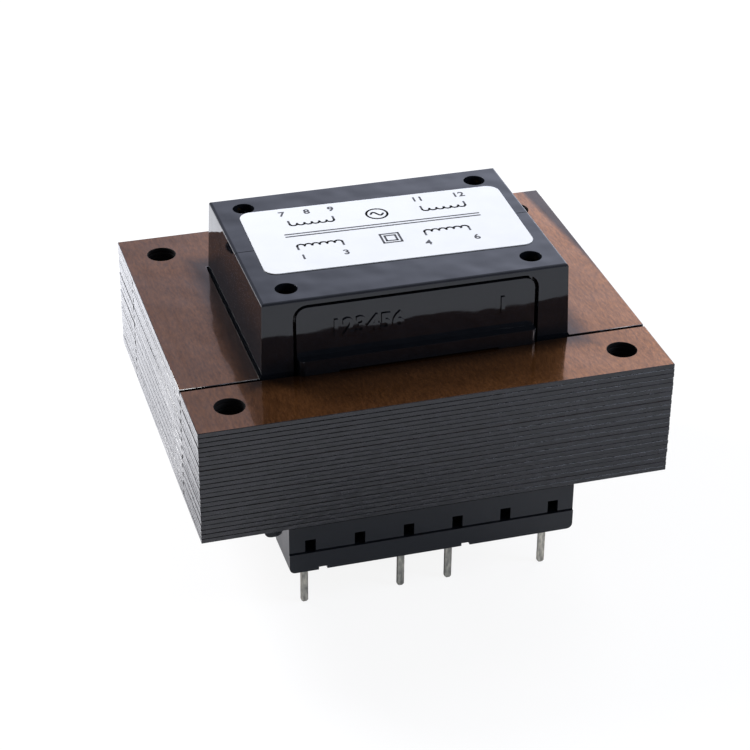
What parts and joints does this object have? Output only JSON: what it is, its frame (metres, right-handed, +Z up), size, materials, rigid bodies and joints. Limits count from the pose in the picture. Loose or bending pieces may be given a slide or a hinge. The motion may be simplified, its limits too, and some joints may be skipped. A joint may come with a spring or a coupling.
{
  "type": "laminated transformer",
  "caption": "Varnished laminated-core transformer with a split bobbin under two lapped covers, corner mounting holes and flat printed-circuit pins below.",
  "frame": {"origin": "midway between the pins, level with their tips", "axes": "+X along the terminal rails towards the right-hand end, +Y from the primary rail to the secondary rail, +Z up from the pins to the label"},
  "size_m": [0.066, 0.055, 0.045],
  "materials": {
    "core_sheet": "silicon steel under brown dipping varnish",
    "cover_plastic": "black moulded nylon, varnish dipped, glossy",
    "bobbin_plastic": "black glass-filled nylon, varnish dipped",
    "label_stock": "white self-adhesive film",
    "tinned_pin": "tinned flat brass wire",
    "magnet_wire": "enamelled copper wire in layers",
    "insulation_tape": "yellow polyester tape"
  },
  "bodies": {
    "root": {"bobbin": "bobbin_plastic", "front_cover": "cover_plastic", "rear_cover": "cover_plastic", "label": "label_stock", "front_pins": "tinned_pin", "rear_pins": "tinned_pin", "primary_winding_inner": "magnet_wire", "primary_winding_outer": "magnet_wire", "primary_tape": "insulation_tape", "secondary_winding_inner": "magnet_wire", "secondary_winding_outer": "magnet_wire", "secondary_tape": "insulation_tape", "e_lamination_01": "core_sheet", "e_lamination_02": "core_sheet", "e_lamination_03": "core_sheet", "e_lamination_04": "core_sheet", "e_lamination_05": "core_sheet", "e_lamination_06": "core_sheet", "e_lamination_07": "core_sheet", "e_lamination_08": "core_sheet", "e_lamination_09": "core_sheet", "e_lamination_10": "core_sheet", "e_lamination_11": "core_sheet", "e_lamination_12": "core_sheet", "e_lamination_13": "core_sheet", "e_lamination_14": "core_sheet", "e_lamination_15": "core_sheet", "e_lamination_16": "core_sheet", "e_lamination_17": "core_sheet", "e_lamination_18": "core_sheet", "e_lamination_19": "core_sheet", "e_lamination_20": "core_sheet", "e_lamination_21": "core_sheet", "e_lamination_22": "core_sheet", "e_lamination_23": "core_sheet", "e_lamination_24": "core_sheet", "i_lamination_01": "core_sheet", "i_lamination_02": "core_sheet", "i_lamination_03": "core_sheet", "i_lamination_04": "core_sheet", "i_lamination_05": "core_sheet", "i_lamination_06": "core_sheet", "i_lamination_07": "core_sheet", "i_lamination_08": "core_sheet", "i_lamination_09": "core_sheet", "i_lamination_10": "core_sheet", "i_lamination_11": "core_sheet", "i_lamination_12": "core_sheet", "i_lamination_13": "core_sheet", "i_lamination_14": "core_sheet", "i_lamination_15": "core_sheet", "i_lamination_16": "core_sheet", "i_lamination_17": "core_sheet", "i_lamination_18": "core_sheet", "i_lamination_19": "core_sheet", "i_lamination_20": "core_sheet", "i_lamination_21": "core_sheet", "i_lamination_22": "core_sheet", "i_lamination_23": "core_sheet", "i_lamination_24": "core_sheet"}
  },
  "joints": []
}
